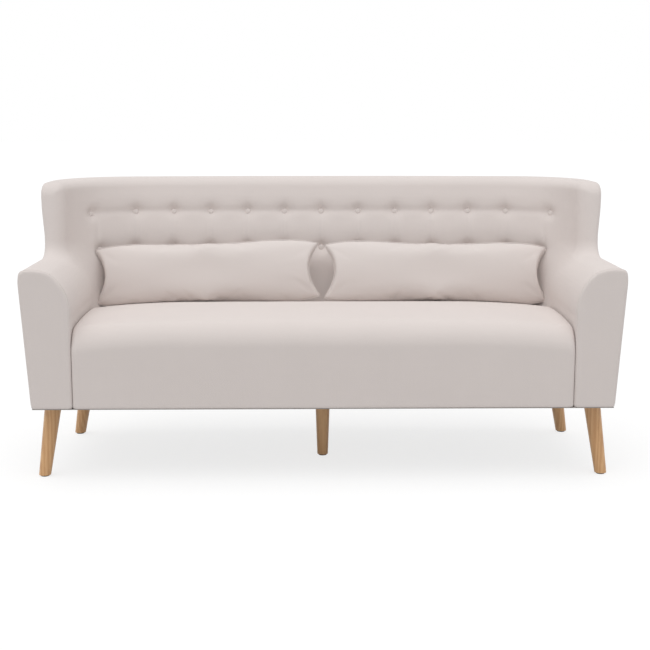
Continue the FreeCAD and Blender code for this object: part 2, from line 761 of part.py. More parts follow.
def make_back_frame(leg_fasteners):
    """Posts and rails that follow the outside of the back; returns the right-hand wing post."""
    board_depth = cover_t + board_t
    raw_band = outside_layer(board_depth, board_depth + rail_t, floor_z, top_rail_high_z)
    stops = neighbours_of_back() + [ahead_of_wings(cover_t)]
    band = raw_band.cut(stops)
    board = outside_layer(cover_t, board_depth, floor_z, top_rail_high_z)
    write("outside_back_board", board.cut(stops))
    post_end = post_x + post_width
    high = top_rail_high_z
    middle_in = middle_post_x - post_width / 2
    middle_out = middle_post_x + post_width / 2
    write("rear_rail", band.common(box(-post_end, post_end, 0, far, floor_z, rear_rail_top_z)))
    write("back_top_rail", band.common(box(-post_end, post_end, 0, far, top_rail_low_z, high)))
    for name, inner_x in (("back_posts", post_x), ("middle_posts", middle_in)):
        slot = box(inner_x, inner_x + post_width, 0, far, rear_rail_top_z, top_rail_low_z)
        write_both(name, band.common(slot))
    spans = [(-post_x, -middle_out), (-middle_in, middle_in), (middle_out, post_x)]
    rails = [band.common(box(a, b, 0, far, cross_rail_z[0], cross_rail_z[1])) for a, b in spans]
    write("back_cross_rails", Part.makeCompound(rails))

    corner_top_z = floor_z + corner_board_t
    corner = outside_solid(board_depth).common(
        box(post_end, far, arm_rear_y, far, floor_z, corner_top_z))
    write_both("corner_boards", corner.cut([seat_solid(0)] + leg_fasteners))
    write_both("rear_posts", band.common(box(post_end, far, arm_rear_y, arm_rear_y + post_width,
                                             corner_top_z, top_rail_low_z)))
    front_depth = cover_t + wing_post_front_foam_t
    top = band.common(box(post_end, far, -far, far, top_rail_low_z, high))
    write_both("wing_top_rails", top.cut(ahead_of_wings(front_depth)))
    post = raw_band.common(ahead_of_wings(front_depth + wing_post_width))
    post = post.cut(ahead_of_wings(front_depth))
    post = post.common(box(0, far, -far, far, arm_board_top_z, top_rail_low_z))
    write_both("wing_posts", post)
    return post


def make_webbing():
    frame_depth = cover_t + board_t + rail_t
    straps = outside_layer(frame_depth + fit_gap, frame_depth + webbing_t - fit_gap,
                           cross_rail_z[0] + strap_end_inset, top_rail_high_z - strap_end_inset)
    columns = [(i - (button_columns - 2) / 2) * button_pitch for i in range(button_columns - 1)]
    half = strap_width / 2
    write("back_webbing", Part.makeCompound([
        straps.common(box(x - half, x + half, 0, far, 0, far)) for x in columns]))


def make_back(wing_post):
    """Foam, boards, covers and buttons of the back and its wings; returns the back's outside."""
    outer, inner = back_volume(0), back_volume(cover_t)
    foam_depth = cover_t + board_t + rail_t + webbing_t
    high = top_rail_high_z
    shell = outer.cut(inner)
    outside_zone = outside_layer(-board_t, cover_seam_depth, floor_z - 1, high)
    write("outside_back_cover", shell.common(outside_zone))
    inside_shell = shell.cut(outside_zone)

    twine_start = cover_t + curve_button_lift      # under the cloth
    flat_places, wing_places = button_places()
    post_end = post_x + post_width
    flat_zone = box(-post_end, post_end, -far, far, 0, far)
    wing_zone = box(post_end, far, -far, far, 0, far)
    behind_foam = outside_layer(-board_t, foam_depth, floor_z - 1, high)
    below_foam = box(-far, far, -far, far, 0, back_foam_low_z)
    sets = []
    for zone, places in ((flat_zone, flat_places), (wing_zone, wing_places)):
        lengths = [twine_length(p, n) for p, n in places]
        ends = [p - n * l for (p, n), l in zip(places, lengths)]
        twines = [cylinder(twine_r, p - n * twine_start, n * -1, l - twine_start)
                  for (p, n), l in zip(places, lengths)]
        anchors = [cylinder(anchor_r, e, n * -1, anchor_t) for (_, n), e in zip(places, ends)]
        pockets = [cylinder(anchor_r, e, n * -1, rail_t) for (_, n), e in zip(places, ends)]
        cover = inside_shell.common(zone)
        foam = inner.common(zone).cut([behind_foam, below_foam, wing_post]).cut(twines + pockets)
        buttons = [button(p, n) for p, n in places]
        sets.append((cover, foam, buttons, twines, anchors))

    def everywhere(index):
        flat, wing = sets[0][index], sets[1][index]
        return Part.makeCompound(flat + wing + [mirrored(piece) for piece in wing])

    write("inside_back_cover", sets[0][0])
    write_both("inside_wing_covers", sets[1][0])
    write("back_foam", sets[0][1])
    write_pair("wing_foam", sets[1][1])
    write("back_buttons", everywhere(2))
    write("button_twines", everywhere(3))
    write("twine_anchors", everywhere(4))
    return outer


def make_cushions(back):
    placement = cushion_placement(seat_solid(0), back)
    for name, piece in cushion_pieces().items():
        piece.Placement = placement.multiply(piece.Placement)
        write_pair(name, piece)


os.makedirs("parts", exist_ok=True)
leg_fasteners = make_legs()
side_bolts = arm_bolts()
write("arm_bolts", Part.makeCompound(side_bolts + [mirrored(b) for b in side_bolts]))
make_seat(leg_fasteners, side_bolts)
wing_post = make_back_frame(leg_fasteners)
make_arms(leg_fasteners, side_bolts, wing_post)
make_webbing()
make_cushions(make_back(wing_post))
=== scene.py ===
# %% [markdown]
# # A three-seat sofa with a buttoned back, two loose cushions and turned wooden legs
# The frame of the sofa comes from CAD and stays as it is. These cells dress it: the padded
# upholstery, the two stuffed cushions, the covered buttons, and the cloth, wood and metal finishes.
# Everything is in metres: X to the right, Y to the rear, Z up, and the floor at zero.

# %% Load the frame
import json
import math

import bpy
import numpy as np
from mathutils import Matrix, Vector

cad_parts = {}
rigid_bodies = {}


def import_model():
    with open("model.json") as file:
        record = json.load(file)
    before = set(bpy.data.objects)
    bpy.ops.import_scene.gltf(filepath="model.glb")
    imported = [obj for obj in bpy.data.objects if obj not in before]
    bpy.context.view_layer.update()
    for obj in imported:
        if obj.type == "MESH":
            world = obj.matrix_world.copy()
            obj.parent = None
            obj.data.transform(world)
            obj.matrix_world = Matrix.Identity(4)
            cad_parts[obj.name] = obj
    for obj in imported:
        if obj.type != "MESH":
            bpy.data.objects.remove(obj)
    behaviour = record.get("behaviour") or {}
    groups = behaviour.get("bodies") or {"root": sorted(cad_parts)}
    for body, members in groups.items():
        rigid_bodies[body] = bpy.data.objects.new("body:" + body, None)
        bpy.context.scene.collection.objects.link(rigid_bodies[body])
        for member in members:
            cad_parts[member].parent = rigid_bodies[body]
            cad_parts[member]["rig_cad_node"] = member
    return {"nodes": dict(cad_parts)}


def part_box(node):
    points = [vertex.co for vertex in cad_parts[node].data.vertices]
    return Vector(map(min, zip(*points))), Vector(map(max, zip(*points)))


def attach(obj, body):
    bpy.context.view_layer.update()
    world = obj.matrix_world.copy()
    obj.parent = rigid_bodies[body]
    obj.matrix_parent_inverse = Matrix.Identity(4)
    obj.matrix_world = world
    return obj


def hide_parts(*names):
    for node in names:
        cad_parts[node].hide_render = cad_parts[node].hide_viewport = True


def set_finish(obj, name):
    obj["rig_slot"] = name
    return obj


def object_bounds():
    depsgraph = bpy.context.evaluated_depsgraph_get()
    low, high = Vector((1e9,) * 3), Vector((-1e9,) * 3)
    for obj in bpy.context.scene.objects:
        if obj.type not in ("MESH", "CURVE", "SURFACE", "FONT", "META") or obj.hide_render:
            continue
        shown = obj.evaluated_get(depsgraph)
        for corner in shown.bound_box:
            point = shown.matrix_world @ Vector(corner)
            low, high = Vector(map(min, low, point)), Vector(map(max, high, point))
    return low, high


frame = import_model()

cad_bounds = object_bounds()

# %% [markdown]
# ## Measuring the frame
# Places are read from the CAD nodes, so that the soft parts always meet the frame under them.
# The few values that a box can't give, such as a slope or a corner radius, are named here.

# %% Sizes of the frame
arm_low, arm_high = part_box("right_arm_cover")
seat_low, seat_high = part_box("seat_cover")
back_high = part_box("outside_back_cover")[1]

SEAT_HALF = arm_low.x
FRONT_Y = arm_low.y
COVER_LOW_Z = arm_low.z
TOP_Z = cad_bounds[1].z
REAR_Y = back_high.y

FOOT_HALF, TOP_HALF = 0.882, 0.908      # half width of the outside at the underside and at the top
UNDERSIDE_Z = 0.225
REAR_RAKE = 0.090                       # how far the rear face leans back
REAR_TOP_Z = 0.854
REAR_BOW = 8.5                          # plan radius of the rear face
OUTSIDE_CORNER = 0.260
INSIDE_HALF = 0.835
INSIDE_CORNER = 0.280
INSIDE_LOW, INSIDE_HIGH = (0.450, 0.145), (0.880, 0.285)    # (height, depth) of the inside back
WING_LOW, WING_HIGH = (0.650, -0.055), (0.880, 0.000)       # (height, depth) of a wing's front edge
print("sofa", [round(v, 3) for v in cad_bounds[1] - cad_bounds[0]], "metres")

# %% [markdown]
# ## Shapes as fields
# Upholstery is foam under tight cloth: large smooth faces that run into each other over soft edges.
# It could be pushed out of a box with a subdivision surface, but the place where an arm swells into
# a wing is hard to draw that way. Here each form is a field instead, a function that is negative
# inside the form and grows with the distance from its surface. Two fields join with a soft valley,
# and meet in a rounded edge, by one formula each.

# %% Field helpers
def ramp(value, low, high):
    """Straight line through two (place, value) pairs."""
    return low[1] + (high[1] - low[1]) * (value - low[0]) / (high[0] - low[0])


def fade(value, start, end):
    """Smooth step from 0 at start to 1 at end."""
    t = np.clip((value - start) / (end - start), 0, 1)
    return t * t * (3 - 2 * t)


def rounded_edge(a, b, radius):
    """What is inside both fields, with a round edge where their surfaces meet."""
    both = np.hypot(np.maximum(a + radius, 0), np.maximum(b + radius, 0))
    return np.minimum(np.maximum(a, b), -radius) + both


def soft_valley(a, b, width):
    """What is inside either field, with a soft hollow between them."""
    h = np.maximum(width - np.abs(a - b), 0) / width
    return np.minimum(a, b) - h * h * width / 4


def circle_through(p, q, r):
    """Centre and radius of the circle through three points of a side view."""
    (ax, ay), (bx, by), (cx, cy) = p, q, r
    d = 2 * (ax * (by - cy) + bx * (cy - ay) + cx * (ay - by))
    a2, b2, c2 = ax * ax + ay * ay, bx * bx + by * by, cx * cx + cy * cy
    ux = (a2 * (by - cy) + b2 * (cy - ay) + c2 * (ay - by)) / d
    uy = (a2 * (cx - bx) + b2 * (ax - cx) + c2 * (bx - ax)) / d
    return ux, uy, math.hypot(ax - ux, ay - uy)


def outline_field(x, z, outline):
    """Distance to a closed outline in the X-Z plane, negative inside it."""
    nearest = np.full(x.shape, 1e9)
    inside = np.zeros(x.shape, bool)
    for (ax, az), (bx, bz) in zip(outline, outline[1:] + outline[:1]):
        ex, ez = bx - ax, bz - az
        t = np.clip(((x - ax) * ex + (z - az) * ez) / (ex * ex + ez * ez), 0, 1)
        nearest = np.minimum(nearest, (x - ax - t * ex) ** 2 + (z - az - t * ez) ** 2)
        if ez:
            crosses = ((az > z) != (bz > z)) & (x < ax + ex * (z - az) / ez)
            inside ^= crosses
    return np.where(inside, -1.0, 1.0) * np.sqrt(nearest)


def arc_points(p, q, r, count):
    """Points along the circle through p, q and r, from p to r."""
    cx, cz, radius = circle_through(p, q, r)
    start, middle, end = (math.atan2(b - cz, a - cx) for a, b in (p, q, r))
    middle = start + (middle - start + math.pi) % (2 * math.pi) - math.pi
    end = middle + (end - middle + math.pi) % (2 * math.pi) - math.pi
    turns = [start + (end - start) * i / count for i in range(count + 1)]
    return [(cx + radius * math.cos(t), cz + radius * math.sin(t)) for t in turns]


# %% [markdown]
# ## From a field to a mesh
# The space round the form is divided into small cubes. Each cube that the surface passes through
# gets one vertex, and each cube edge that it crosses gets one square face. Then every vertex is
# evened out among its neighbours and drawn exactly onto the surface, which leaves a closed mesh of
# squares with no poles or creases.

# %% Surface builder
SLOPE_STEP = 0.0008


def slope_of(field, points):
    """Field value and gradient at points."""
    value = field(points[:, 0], points[:, 1], points[:, 2])
    slope = np.empty_like(points)
    for axis in range(3):
        step = np.zeros(3)
        step[axis] = SLOPE_STEP
        ahead, behind = points + step, points - step
        slope[:, axis] = (field(*ahead.T) - field(*behind.T)) / (2 * SLOPE_STEP)
    return value, slope


def drawn_to(field, points, reach, rounds=3, depth=0.0):
    """Points moved along the slope until the field has the value depth."""
    for _ in range(rounds):
        value, slope = slope_of(field, points)
        steep = np.maximum((slope ** 2).sum(1), 0.05)
        step = np.clip((value - depth) / np.sqrt(steep), -reach, reach)
        points = points - slope * (step / np.sqrt(steep))[:, None]
    return points


def evened(points, faces, share):
    """Each point moved part of the way to the middle of its neighbours."""
    total, count = np.zeros_like(points), np.zeros(len(points))
    for a, b in ((0, 1), (1, 2), (2, 3), (3, 0)):
        for i, j in ((a, b), (b, a)):
            np.add.at(total, faces[:, i], points[faces[:, j]])
            np.add.at(count, faces[:, i], 1)
    return points + (total / np.maximum(count, 1)[:, None] - points) * share


def surface_points(field, low, high, cell):
    """Vertices and square faces of the surface where a field that is symmetrical in X is zero."""
    half = np.arange(0, high[0] + cell, cell)
    ys, zs = np.arange(low[1], high[1] + cell, cell), np.arange(low[2], high[2] + cell, cell)
    values = np.empty((len(half), len(ys), len(zs)), np.float32)
    for i, x in enumerate(half):
        yy, zz = np.meshgrid(ys, zs, indexing="ij")
        values[i] = field(np.full(yy.shape, x), yy, zz)
    values = np.concatenate([values[:0:-1], values])
    values[values == 0] = 1e-7
    origin = np.array([-half[-1], low[1], low[2]])
    inside = values < 0
    nx, ny, nz = (n - 1 for n in values.shape)
    total = np.zeros((nx, ny, nz, 3), np.float32)
    count = np.zeros((nx, ny, nz), np.int16)
    crossings = []
    for axis in range(3):
        first = [slice(None)] * 3
        second = [slice(None)] * 3
        first[axis], second[axis] = slice(0, -1), slice(1, None)
        a, b = values[tuple(first)], values[tuple(second)]
        i, j, k = np.nonzero((a < 0) != (b < 0))
        share = a[i, j, k] / (a[i, j, k] - b[i, j, k])
        place = np.stack([i, j, k], 1).astype(np.float32)
        place[:, axis] += share
        u, v = [n for n in range(3) if n != axis]
        corners = []
        for du, dv in ((0, 0), (1, 0), (1, 1), (0, 1)):
            at = np.stack([i, j, k], 1)
            at[:, u] -= du
            at[:, v] -= dv
            corners.append(at)
            np.add.at(total, tuple(at.T), place)
            np.add.at(count, tuple(at.T), 1)
        crossings.append((corners, inside[i, j, k] == (axis != 1)))
    used = count > 0
    number = np.full(used.shape, -1)
    number[used] = np.arange(used.sum())
    points = total[used] / count[used][:, None] * cell + origin
    faces = []
    for corners, forward in crossings:
        quads = np.stack([number[tuple(at.T)] for at in corners], 1)
        quads[~forward] = quads[~forward][:, ::-1]
        faces.append(quads)
    return points.astype(np.float64), np.concatenate(faces)


def new_mesh(name, points, faces, smooth=True):
    """A mesh object in the scene from points and faces."""
    mesh = bpy.data.meshes.new(name)
    mesh.from_pydata([tuple(p) for p in points], [], [tuple(int(i) for i in f) for f in faces])
    mesh.validate()
    mesh.polygons.foreach_set("use_smooth", [smooth] * len(mesh.polygons))
    mesh.update()
    piece = bpy.data.objects.new(name, mesh)
    bpy.context.scene.collection.objects.link(piece)
    return piece


def field_mesh(name, field, low, high, cell):
    """A padded form built from its field."""
    points, faces = surface_points(field, low, high, cell)
    points = drawn_to(field, points, cell)
    for _ in range(2):
        points = drawn_to(field, evened(points, faces, 0.6), cell, 2)
    print(name, len(points), "vertices,", len(faces), "squares")
    return new_mesh(name, points, faces)


# %% [markdown]
# ## The tufted back
# Behind each covered button a twine pulls the cloth into the foam. The pull makes a round dimple, a
# long soft crease from button to button along each row, and a faint pull from one row to the next,
# with the foam swelling a little in between. The depth of all this is one function of the distance
# along the back and the height, so it follows the back round into the wings.

# %% Tufting
BUTTON_ROWS = (0.770, 0.650)
BUTTON_PITCH = 0.1265
WING_BUTTON_X = (0.7663, 0.7387)
BUTTON_COLUMNS = 11
DIMPLE = (0.0062, 0.0125)       # depth and spread of the tight pull at a button
PULL = (0.0066, 0.036, 0.022)   # depth, spread along and spread up of the wide pull
CREASE = (0.0034, 0.0110)       # depth and spread of the fold along a row
CROSS_PULL = (0.0020, 0.009)    # the same between the rows
SWELL = 0.0035                  # how far the foam stands proud between the rows
CREASE_TAIL = 0.03              # run-out of a row's fold past its last button
ROW_MARGIN = 0.05               # run-out of a cross pull above and below the rows
SWELL_END = (0.74, 0.82)        # the swelling fades out here along the inside


def inside_rear(z):
    return ramp(z, INSIDE_LOW, INSIDE_HIGH)


def along_inside(x, y, z):
    """Distance from the middle along the inside back and round into a wing."""
    flat_end, centre_y = INSIDE_HALF - INSIDE_CORNER, inside_rear(z) - INSIDE_CORNER
    turn = np.arctan2(np.maximum(x - flat_end, 0), np.maximum(y - centre_y, 1e-6))
    straight = np.maximum(centre_y - y, 0)
    return np.minimum(x, flat_end) + INSIDE_CORNER * turn + np.where(x > flat_end, straight, 0)


def button_distances(wing_x):
    """Distances along the inside back of one row's buttons, from the middle to a wing."""
    flat_end = INSIDE_HALF - INSIDE_CORNER
    xs = [i * BUTTON_PITCH for i in range(BUTTON_COLUMNS // 2 + 1)] + [wing_x]
    return [x if x < flat_end else
            flat_end + INSIDE_CORNER * math.asin((x - flat_end) / INSIDE_CORNER) for x in xs]


def tuft_depth(x, y, z):
    """How deep the cloth is pulled in, on the inside back."""
    along = along_inside(x, y, z)
    depth = np.zeros_like(along)
    for row_z, wing_x in zip(BUTTON_ROWS, WING_BUTTON_X):
        places = button_distances(wing_x)
        up = z - row_z
        for place in places:
            off = along - place
            depth += DIMPLE[0] * np.exp(-(off ** 2 + up ** 2) / (2 * DIMPLE[1] ** 2))
            depth += PULL[0] * np.exp(-(off / PULL[1]) ** 2 - (up / PULL[2]) ** 2)
        row_end = 1 - fade(along, places[-1], places[-1] + CREASE_TAIL)
        depth += CREASE[0] * row_end * np.exp(-(up / CREASE[1]) ** 2)
    top, low = BUTTON_ROWS
    between = fade(z, low - ROW_MARGIN, low) * (1 - fade(z, top, top + ROW_MARGIN))
    for place in button_distances(sum(WING_BUTTON_X) / 2):
        depth += CROSS_PULL[0] * between * np.exp(-((along - place) / CROSS_PULL[1]) ** 2)
    rows_end = 1 - fade(along, *SWELL_END)
    middle, half_gap = (top + low) / 2, (top - low) / 2
    for centre in (middle, middle + 2 * half_gap * 0.85, middle - 2 * half_gap * 0.9):
        depth -= SWELL * rows_end * np.exp(-((z - centre) / (half_gap * 0.62)) ** 2)
    return depth


print("buttons on a row at", [round(v, 3) for v in button_distances(WING_BUTTON_X[0])])

# %% [markdown]
# ## The back, wings and arms
# On the real sofa the arms are padded boxes that run into the wings with no hard line between them.
# The arm is one outline, drawn from the front, that runs to the rear; the back is a hollow with
# round corners in a larger round-cornered form. A soft valley joins them, and the leaning outside
# cuts both off in one go, so that the arm and the wing share one smooth side. Towards the foot the
# rear corners are a little tighter than in the frame, so that the cloth covers the arm's side board
# where the corner begins. This one skin stands for all the covers and foams under it, and for two
# hidden frame pieces whose sharp corners would come through its softer edges.

# %% Arm, back and outside fields
ARM_SHOULDER = (0.0, 0.500)         # (distance out from the inner face, height)
ARM_BEND = (0.014, 0.590)
ARM_TOP = (0.056, 0.638)
ARM_CROWN = (0.104, 0.650)
ARM_EDGE = (0.152, 0.6415)
ARM_HEAD_HALF = 0.910               # half width over the arms at their front
ARM_HEAD_Z = 0.634
ARM_REAR_Y = 0.100
VALLEY = 0.052                      # softness of the join of arm and wing
SIDE_EDGE, TOP_EDGE = 0.010, 0.016  # edge radius of an arm's head, and of the back's outside top
INSIDE_TOP_EDGE, WING_EDGE = 0.028, 0.042
FRONT_EDGE, UNDER_EDGE = 0.007, 0.004
WAIST = 0.009                       # how far a wing draws in above the arm
WAIST_Z, WAIST_SPREAD = 0.690, 0.085
WAIST_START = (0.598, 0.655)        # there is none on the arm itself
WAIST_REAR = (0.0, 0.09)            # and it fades out rearward
HEAD_BLEND = 0.10                   # height over which the outside edge softens above an arm
FOOT_CORNER = OUTSIDE_CORNER - 0.052  # the rear corners are tighter at the foot, over the arm boards
FULL_CORNER_Z = 0.54


def arm_outline():
    """Outline of an arm from the front; its outside is left open, far out."""
    def out(p):
        return SEAT_HALF + p[0], p[1]
    points = [(SEAT_HALF, 0.0), out(ARM_SHOULDER)]
    points += arc_points(out(ARM_SHOULDER), out(ARM_BEND), out(ARM_TOP), 10)[1:]
    points += arc_points(out(ARM_TOP), out(ARM_CROWN), out(ARM_EDGE), 8)[1:]
    return points + [(SEAT_HALF + 0.40, 0.600), (SEAT_HALF + 0.40, 0.0)]


ARM_OUTLINE = arm_outline()


def outside_field(x, y, z):
    """The leaning sides, round rear corners and bowed rear of the whole sofa."""
    wing_slope = (TOP_HALF - FOOT_HALF) / (TOP_Z - UNDERSIDE_Z)
    head_slope = (ARM_HEAD_HALF - FOOT_HALF) / (ARM_HEAD_Z - UNDERSIDE_Z)
    to_rear = np.clip((y - FRONT_Y) / (ARM_REAR_Y - FRONT_Y), 0, 1)
    half = FOOT_HALF + (z - UNDERSIDE_Z) * (head_slope + (wing_slope - head_slope) * to_rear)
    drawn_in = np.exp(-((z - WAIST_Z) / WAIST_SPREAD) ** 2) * fade(z, *WAIST_START)
    half = half - WAIST * drawn_in * (1 - fade(y, *WAIST_REAR))
    rear = ramp(z, (UNDERSIDE_Z, REAR_Y - REAR_RAKE), (REAR_TOP_Z, REAR_Y))
    corner = ramp(np.minimum(z, FULL_CORNER_Z),
                  (UNDERSIDE_Z, FOOT_CORNER), (FULL_CORNER_Z, OUTSIDE_CORNER))
    corner_x = half - corner
    bow_y = rear - REAR_BOW
    corner_y = bow_y + np.sqrt((REAR_BOW - corner) ** 2 - corner_x ** 2)
    on_corner = (y > corner_y) & (x * (corner_y - bow_y) > corner_x * (y - bow_y))
    at_corner = np.hypot(x - corner_x, y - corner_y) - corner
    at_faces = np.maximum(x - half, np.hypot(x, y - bow_y) - REAR_BOW)
    return np.where(on_corner, at_corner, at_faces)


def inside_field(x, y, z):
    """The hollow that the back and the wings wrap round, negative in the hollow."""
    rear = inside_rear(z)
    corner_x, corner_y = INSIDE_HALF - INSIDE_CORNER, rear - INSIDE_CORNER
    at_corner = np.hypot(x - corner_x, y - corner_y) - INSIDE_CORNER
    at_faces = np.maximum(x - INSIDE_HALF, y - rear)
    return np.where((x > corner_x) & (y > corner_y), at_corner, at_faces)


def body_field(x, y, z):
    """Back, wings and arms together."""
    x = np.abs(x)
    inside = tuft_depth(x, y, z) - inside_field(x, y, z)
    wing_front = (ramp(z, WING_LOW, WING_HIGH) - y) * 0.97
    back = rounded_edge(inside, z - TOP_Z, INSIDE_TOP_EDGE)
    back = rounded_edge(back, wing_front, WING_EDGE)
    arm = outline_field(x, z, ARM_OUTLINE)
    whole = soft_valley(arm, back, VALLEY)
    above_arm = fade(z, ARM_HEAD_Z, ARM_HEAD_Z + HEAD_BLEND)
    edge = SIDE_EDGE + (TOP_EDGE - SIDE_EDGE) * above_arm
    whole = rounded_edge(whole, outside_field(x, y, z), edge)
    whole = rounded_edge(whole, FRONT_Y - y, FRONT_EDGE)
    return rounded_edge(whole, COVER_LOW_Z - z, UNDER_EDGE)


# %% Build the body
BODY_CELL = 0.0065
MARGIN = 0.012
body = field_mesh("body_upholstery", body_field,
                  (0, FRONT_Y - MARGIN, COVER_LOW_Z - MARGIN),
                  (arm_high.x + MARGIN, REAR_Y + MARGIN, TOP_Z + MARGIN), BODY_CELL)
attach(body, "sofa")
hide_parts("left_arm_cover", "right_arm_cover", "left_arm_foam", "right_arm_foam",
            "inside_back_cover", "inside_wing_covers", "outside_back_cover",
            "back_foam", "left_wing_foam", "right_wing_foam", "outside_back_board", "wing_posts")
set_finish(body, "upholstery")

# %% [markdown]
# ## The seat
# The seat is one long block of foam on springs. Its front rolls over, its top crowns and falls away
# to the rear and towards the arms, and the cloth is tight. Its ends are slightly round, so a dark
# line shows where it meets the arms.

# %% Seat
SEAT_ROLL = 0.065
SEAT_FACE_Z = 0.425
SEAT_CROWN = (FRONT_Y + 0.290, seat_high.z)
SEAT_REAR = (seat_high.y, 0.462)
SEAT_EDGE_Z = 0.478
SEAT_END_EDGE = 0.011
SEAT_PLAY = 0.0008                  # seat to arm
SEAT_FALL = 0.020                   # further drop of the top beside an arm
SEAT_FALL_START = 0.44
SEAT_TOP_VALLEY = 0.012             # softness where the crown along and the crown across meet
ROLL_END = math.radians(80)
roll_end = (FRONT_Y + SEAT_ROLL * (1 - math.cos(ROLL_END)), SEAT_FACE_Z + SEAT_ROLL * math.sin(ROLL_END))
TOP_ARC = circle_through(roll_end, SEAT_CROWN, SEAT_REAR)
CROSS_ARC = circle_through((-SEAT_HALF, SEAT_EDGE_Z), (0, SEAT_CROWN[1]), (SEAT_HALF, SEAT_EDGE_Z))


def seat_field(x, y, z):
    x = np.abs(x)
    fall = SEAT_FALL * np.clip((x - SEAT_FALL_START) / (SEAT_HALF - SEAT_FALL_START), 0, 1) ** 2
    top = np.hypot(y - TOP_ARC[0], z + fall - TOP_ARC[1]) - TOP_ARC[2]
    across = np.hypot(x - CROSS_ARC[0], z - CROSS_ARC[1]) - CROSS_ARC[2]
    top = -soft_valley(-top, -across, SEAT_TOP_VALLEY)
    whole = rounded_edge(top, FRONT_Y - y, SEAT_ROLL)
    whole = rounded_edge(whole, y - SEAT_REAR[0], UNDER_EDGE)
    whole = rounded_edge(whole, x - (SEAT_HALF - SEAT_PLAY), SEAT_END_EDGE)
    return rounded_edge(whole, seat_low.z - z, UNDER_EDGE)


seat = field_mesh("seat_upholstery", seat_field,
                  (0, FRONT_Y - MARGIN, seat_low.z - MARGIN),
                  (SEAT_HALF + MARGIN, SEAT_REAR[0] + MARGIN, seat_high.z + MARGIN), BODY_CELL)
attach(seat, "sofa")
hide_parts("seat_cover", "seat_foam")
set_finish(seat, "upholstery")

# %% [markdown]
# ## The loose cushions
# A cushion is two flat panels of cloth sewn round the edge and stuffed. It could be modelled by
# hand, but its puckers and dog-eared corners come from cloth that can't stretch, so the panels are
# cut flat and blown up by the cloth simulation. A light filling never strains the cloth, so the
# pressure is let go before the panels are fully blown up: left on, it draws the middle in like a
# bow tie. What the simulation leaves is a start, not the finished size. The two long hems are
# pulled straight, the whole is scaled to the finished length, thickness and height, and then the
# cushion is stood on the seat against the back and pressed clear of them where it touches.

# %% Cut the panels
PANEL_SIZE = (0.780, 0.262)
PANEL_TAPER = 0.19                  # the panels are cut lower towards their ends
PANEL_SHORTENING = 0.012            # and their ends are cut hollow
PANEL_CELLS = (112, 38)
PANEL_START = 0.010                 # half thickness before stuffing


def panel_points(length, height):
    """Two panels with a shared edge: points, square faces and the points of the sewn edge."""
    nx, nz = PANEL_CELLS
    us, vs = np.linspace(-1, 1, nx + 1), np.linspace(-1, 1, nz + 1)
    points, columns, number = [], [], {}
    for side in (-1, 1):
        for i, u in enumerate(us):
            for j, v in enumerate(vs):
                if i in (0, nx) or j in (0, nz):
                    if side == 1:
                        number[side, i, j] = number[-1, i, j]
                        continue
                    depth = 0.0
                else:
                    depth = side * PANEL_START * math.sqrt((1 - u ** 8) * (1 - v ** 8))
                number[side, i, j] = len(points)
                columns.append(i)
                reach = length / 2 - PANEL_SHORTENING * (1 - v ** 2) * abs(u) ** 3
                points.append((u * reach, depth, v * height / 2 * (1 - PANEL_TAPER * abs(u) ** 3)))
    columns = np.array(columns)
    faces = []
    for side in (-1, 1):
        for i in range(nx):
            for j in range(nz):
                quad = [number[side, i, j], number[side, i + 1, j],
                        number[side, i + 1, j + 1], number[side, i, j + 1]]
                faces.append(quad if side == -1 else quad[::-1])
    ring = [(i, 0) for i in range(nx)] + [(nx, j) for j in range(nz)]
    ring += [(i, nz) for i in range(nx, 0, -1)] + [(0, j) for j in range(nz, 0, -1)]
    return np.array(points), faces, [number[-1, i, j] for i, j in ring], columns


def with_even_hems(points, columns):
    """A stuffed cushion with the chance folds of its two long hems pulled straight."""
    places = np.arange(columns.max() + 1)
    evened_points = points.copy()
    for hem in (-1, 1):
        reach = np.array([(hem * points[columns == place, 2]).max() for place in places])
        smooth = np.polyval(np.polyfit(places, reach, 4), places)
        held = hem * points[:, 2] > 0
        evened_points[held, 2] *= (smooth / reach)[columns[held]]
    return evened_points


# %% Stuff a cushion
STUFFING_PRESSURE = 4.0
STUFFING_FRAMES = 24
STUFFED_SHARE = 0.92                # of the full thickness, when the pressure is let go
LUMP = 0.0008                       # unevenness of the filling, to start the puckers


def stuffed(name, length, height, thickness, pressure, unevenness):
    """Points, faces and sewn edge of a stuffed cushion about its own middle."""
    points, faces, ring, columns = panel_points(length, height)
    lumps = np.sin(points[:, 0] * 9.1 + unevenness) * np.sin(points[:, 2] * 17 + 2 * unevenness)
    points[:, 1] += LUMP * lumps * (points[:, 1] != 0)
    piece = new_mesh(name, points, faces)
    cloth = piece.modifiers.new("stuffing", "CLOTH")
    settings = cloth.settings
    settings.quality = 8
    settings.mass = 0.25
    settings.tension_stiffness = settings.compression_stiffness = 40
    settings.shear_stiffness = 12
    settings.bending_stiffness = 3.0
    settings.air_damping = 2.0
    settings.use_pressure = True
    settings.uniform_pressure_force = pressure
    settings.effector_weights.gravity = 0
    cloth.point_cache.frame_start, cloth.point_cache.frame_end = 1, STUFFING_FRAMES
    for step in range(1, STUFFING_FRAMES + 1):
        bpy.context.scene.frame_set(step)
        shaped = piece.evaluated_get(bpy.context.evaluated_depsgraph_get())
        found = np.array([v.co for v in shaped.data.vertices])
        if np.ptp(found[:, 1]) > thickness * STUFFED_SHARE:
            break
    bpy.data.objects.remove(piece)
    bpy.context.scene.frame_set(1)
    found = with_even_hems(found, columns)
    found -= (found.max(0) + found.min(0)) / 2
    print(name, "as stuffed", np.round(np.ptp(found, axis=0), 3))
    return found, faces, ring


# %% [markdown]
# The zip sits in a straight groove low on the rear of each cushion, and its slider runs the length
# of it. The groove is pressed into the stuffed cover after the simulation, just under the CAD zip,
# so the zip lies on cloth and the slider has room to run.

